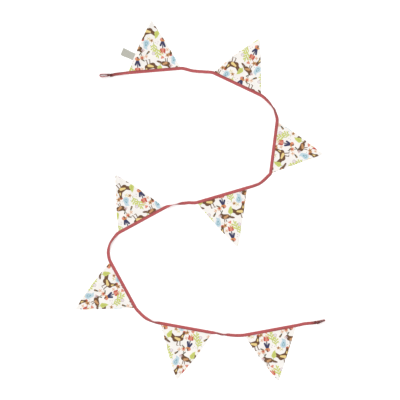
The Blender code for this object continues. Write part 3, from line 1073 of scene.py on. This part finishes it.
def wrapped(tree, point, x, y):
    """The chart's point measured from the nearest repeat of x, y."""
    across, up, _ = split_node(tree, vector_node(tree, "SUBTRACT", point, (x, y, 0)))
    column = number_node(tree, "FLOOR", number_node(tree, "MULTIPLY_ADD", across, 1 / CHART_WIDE, 0.5))
    across = number_node(tree, "MULTIPLY_ADD", column, -CHART_WIDE, across)
    up = number_node(tree, "MULTIPLY_ADD", column, -CHART_HIGH / 2, up)
    level = number_node(tree, "FLOOR", number_node(tree, "MULTIPLY_ADD", up, 1 / CHART_HIGH, 0.5))
    up = number_node(tree, "MULTIPLY_ADD", level, -CHART_HIGH, up)
    join = tree.nodes.new("ShaderNodeCombineXYZ")
    feed(tree, join.inputs, (across, up))
    return join.outputs[0]


def stamp_point(stamp, x, y):
    """A motif's point as it lies in the print."""
    turn = math.radians(stamp.turn)
    x, y = x * stamp.scale * stamp.mirror, y * stamp.scale
    return x * math.cos(turn) - y * math.sin(turn), x * math.sin(turn) + y * math.cos(turn)


def dab_distance(tree, point, stamp, dab):
    """How far outside a dab the point is, in millimetres."""
    x1, y1 = stamp_point(stamp, dab.x1, dab.y1)
    x2, y2 = stamp_point(stamp, dab.x2, dab.y2)
    r1, r2 = dab.r1 * stamp.scale, dab.r2 * stamp.scale
    dx, dy = x2 - x1, y2 - y1
    square = dx * dx + dy * dy
    if square < 0.01:
        return number_node(tree, "SUBTRACT", vector_node(tree, "DISTANCE", point, (x1, y1, 0)), r1)
    along = vector_node(tree, "DOT_PRODUCT", point, (dx / square, dy / square, 0))
    share = number_node(tree, "SUBTRACT", along, (x1 * dx + y1 * dy) / square, clamp=True)
    nearest = vector_node(tree, "ADD", scaled(tree, (dx, dy, 0), share), (x1, y1, 0))
    thick = number_node(tree, "MULTIPLY_ADD", share, r2 - r1, r1)
    return number_node(tree, "SUBTRACT", vector_node(tree, "DISTANCE", point, nearest), thick)


def star_distance(tree, point, stamp, star):
    """How far outside a star's edge the point is: its points are folded onto half of one of them."""
    x, y = stamp_point(stamp, star.x, star.y)
    moved = vector_node(tree, "SUBTRACT", point, (x, y, 0))
    across, up, _ = split_node(tree, moved)
    turn = number_node(tree, "ARCTAN2", up, across)
    part = 2 * math.pi / star.points
    tilt = math.radians(90 + stamp.turn) + part / 2
    folded = number_node(tree, "WRAP", number_node(tree, "SUBTRACT", turn, tilt), part, 0.0)
    folded = number_node(tree, "ABSOLUTE", number_node(tree, "SUBTRACT", folded, part / 2))
    tip, inner = star.tip * stamp.scale, star.inner * stamp.scale
    valley = (inner * math.cos(part / 2), inner * math.sin(part / 2))
    edge = Vector((valley[0] - tip, valley[1])).normalized()
    slope = math.atan2(-edge.x, edge.y)
    cosine = number_node(tree, "COSINE", number_node(tree, "SUBTRACT", folded, slope))
    length = vector_node(tree, "LENGTH", moved)
    return number_node(tree, "MULTIPLY_ADD", length, cosine, -tip * math.cos(slope))


def ring_distance(tree, point, stamp, ring):
    x, y = stamp_point(stamp, ring.x, ring.y)
    length = vector_node(tree, "DISTANCE", point, (x, y, 0))
    off = number_node(tree, "ABSOLUTE", number_node(tree, "SUBTRACT", length, ring.radius * stamp.scale))
    return number_node(tree, "SUBTRACT", off, ring.thick * stamp.scale)


DISTANCES = {Dab: dab_distance, Star: star_distance, Ring: ring_distance}


def print_colour(tree, point):
    """The printed cloth's colour at a point of the chart."""
    colour = INK["ground"]
    for stamp in STAMPS:
        local = wrapped(tree, point, stamp.x, stamp.y)
        for ink, strokes in groupby(MOTIFS[stamp.motif], attrgetter("ink")):
            outside = None
            for stroke in strokes:
                distance = DISTANCES[type(stroke)](tree, local, stamp, stroke)
                outside = distance if outside is None else number_node(tree, "MINIMUM", outside, distance)
            share = number_node(tree, "MULTIPLY_ADD", outside, -1 / PRINT_SOFT, 0.5, clamp=True)
            colour = mix_colour(tree, share, colour, INK[ink])
    return colour


def weave_height(tree, point, pitch):
    """A plain weave's small bumps, two threads to a pitch."""
    across, up, _ = split_node(tree, point)
    waves = [
        number_node(tree, "SINE", number_node(tree, "MULTIPLY", axis, 2 * math.pi / pitch))
        for axis in (across, up)
    ]
    return number_node(tree, "MULTIPLY", *waves)


def add_bump(tree, shader, height, distance, strength):
    node = tree.nodes.new("ShaderNodeBump")
    node.inputs["Strength"].default_value = strength
    node.inputs["Distance"].default_value = distance
    tree.links.new(height, node.inputs["Height"])
    tree.links.new(node.outputs["Normal"], shader.inputs["Normal"])


def cloud(tree, point, scale, low, high):
    """Slow uneven values from low to high."""
    noise = tree.nodes.new("ShaderNodeTexNoise")
    noise.inputs["Scale"].default_value = scale
    noise.inputs["Detail"].default_value = 3.0
    tree.links.new(point, noise.inputs["Vector"])
    return number_node(tree, "MULTIPLY_ADD", noise.outputs[0], high - low, low)


def plain_material(name, colour, roughness, sheen=0.0):
    material = bpy.data.materials.new(name)
    material.use_nodes = True
    shader = material.node_tree.nodes["Principled BSDF"]
    shader.inputs["Base Color"].default_value = colour
    shader.inputs["Roughness"].default_value = roughness
    shader.inputs["Sheen Weight"].default_value = sheen
    shader.inputs["Specular IOR Level"].default_value = SHINE
    return material


def cloth_material(look, attribute, paint, bias=False):
    """A woven cloth. paint gives its colour from the place on the flat cloth, which the attribute holds. A
    tape cut on the bias has its threads aslant."""
    material = plain_material(look.name, WHITE, look.roughness, look.sheen)
    tree = material.node_tree
    shader = tree.nodes["Principled BSDF"]
    cloth = attribute_node(tree, attribute, "Vector")
    colour = paint(tree, cloth)
    dull = cloud(tree, cloth, look.scale, look.low, look.high)
    tree.links.new(scaled(tree, colour, dull), shader.inputs["Base Color"])
    if bias:
        turn = tree.nodes.new("ShaderNodeVectorRotate")
        turn.rotation_type = "Z_AXIS"
        turn.inputs["Angle"].default_value = math.radians(45)
        tree.links.new(cloth, turn.inputs["Vector"])
        cloth = turn.outputs[0]
    add_bump(tree, shader, weave_height(tree, cloth, look.pitch), look.deep * MM, look.strength)
    return material


# The tape's red, mixed towards its painted shade colour by the painted shade at each place.
def tape_colour(tree, cloth):
    return mix_colour(tree, attribute_node(tree, "painted_shade", "Fac"), TAPE_RED, TAPE_PAINTED_SHADE)


def label_colour(tree, cloth):
    return LABEL_GREY[:3]


def build_floor():
    mesh = bpy.data.meshes.new("floor")
    corners = [(x * FLOOR_REACH, y * FLOOR_REACH, 0) for x, y in ((-1, -1), (1, -1), (1, 1), (-1, 1))]
    mesh.from_pydata(corners, [], [(0, 1, 2, 3)])
    white = plain_material("floor_white", FLOOR_WHITE, roughness=0.95)
    glow = white.node_tree.nodes["Principled BSDF"].inputs
    glow["Emission Color"].default_value = WHITE
    glow["Emission Strength"].default_value = FLOOR_GLOW
    mesh.materials.append(white)
    floor = add_object("floor", mesh)


def add_light(lamp):
    data = bpy.data.lights.new(lamp.name, "SUN")
    data.angle = math.radians(lamp.spread)
    data.energy = lamp.strength
    light = add_object(lamp.name, data)
    light.location = (lamp.x, lamp.y, lamp.z)
    light.rotation_mode = "QUATERNION"
    light.rotation_quaternion = light.location.to_track_quat("Z", "Y")


def set_studio():
    scene = bpy.context.scene
    scene.view_settings.view_transform = "Standard"
    scene.view_settings.look = "None"
    world = bpy.data.worlds.new("studio")
    world.use_nodes = True
    background = world.node_tree.nodes["Background"].inputs
    background["Color"].default_value = WHITE
    background["Strength"].default_value = WORLD_LIGHT
    scene.world = world
    for lamp in LAMPS:
        add_light(lamp)
    camera_data = bpy.data.cameras.new("camera")
    camera_data.lens = LENS
    camera_data.sensor_width = SENSOR
    camera = add_object("camera", camera_data)
    camera.location = (*CENTRE, FIELD * LENS / SENSOR)
    scene.camera = camera


def ride(piece, slot, *nodes):
    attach(piece, "root")
    if nodes:
        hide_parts(*nodes)


def build():
    cotton = cloth_material(COTTON, "chart", print_colour)
    red = cloth_material(TAPE, "cloth", tape_colour, bias=True)
    satin = cloth_material(SATIN, "cloth", label_colour)
    thread = plain_material("red_thread", THREAD_RED, roughness=0.7)
    # The lashing's dark thread paints the shade at the loops' roots.
    thread_with_painted_shade = plain_material("thread_with_painted_shade", THREAD_WITH_PAINTED_SHADE, roughness=0.8)
    run = tape_run()
    tape = build_band("tape_cloth", run, red)
    stitches = build_stitches(run, thread)
    ride(tape, "tape", "tape")
    ride(stitches, "tape")
    for loop, out in ((START, -direction(START.heading)), (FINISH, direction(FINISH.heading))):
        cloth, length = build_loop(loop, out, red)
        sewing = build_wraps(loop, out, run, thread_with_painted_shade)
        ride(cloth, "tape", loop.name)
        ride(sewing, "tape")
    grid = flag_grid()
    for number in range(1, len(FLAGS) + 1):
        flag, area = build_flag(number, grid, cotton)
        ride(flag, "cotton", f"flag_{number}")
        length = FLAG_DROP + FLAGS[number - 1].longer * MM - TAPE_WIDTH / 2 + FLAG_TUCK
    label = build_label(satin)
    ride(label, "label", "label")


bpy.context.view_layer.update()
build()
build_floor()
set_studio()
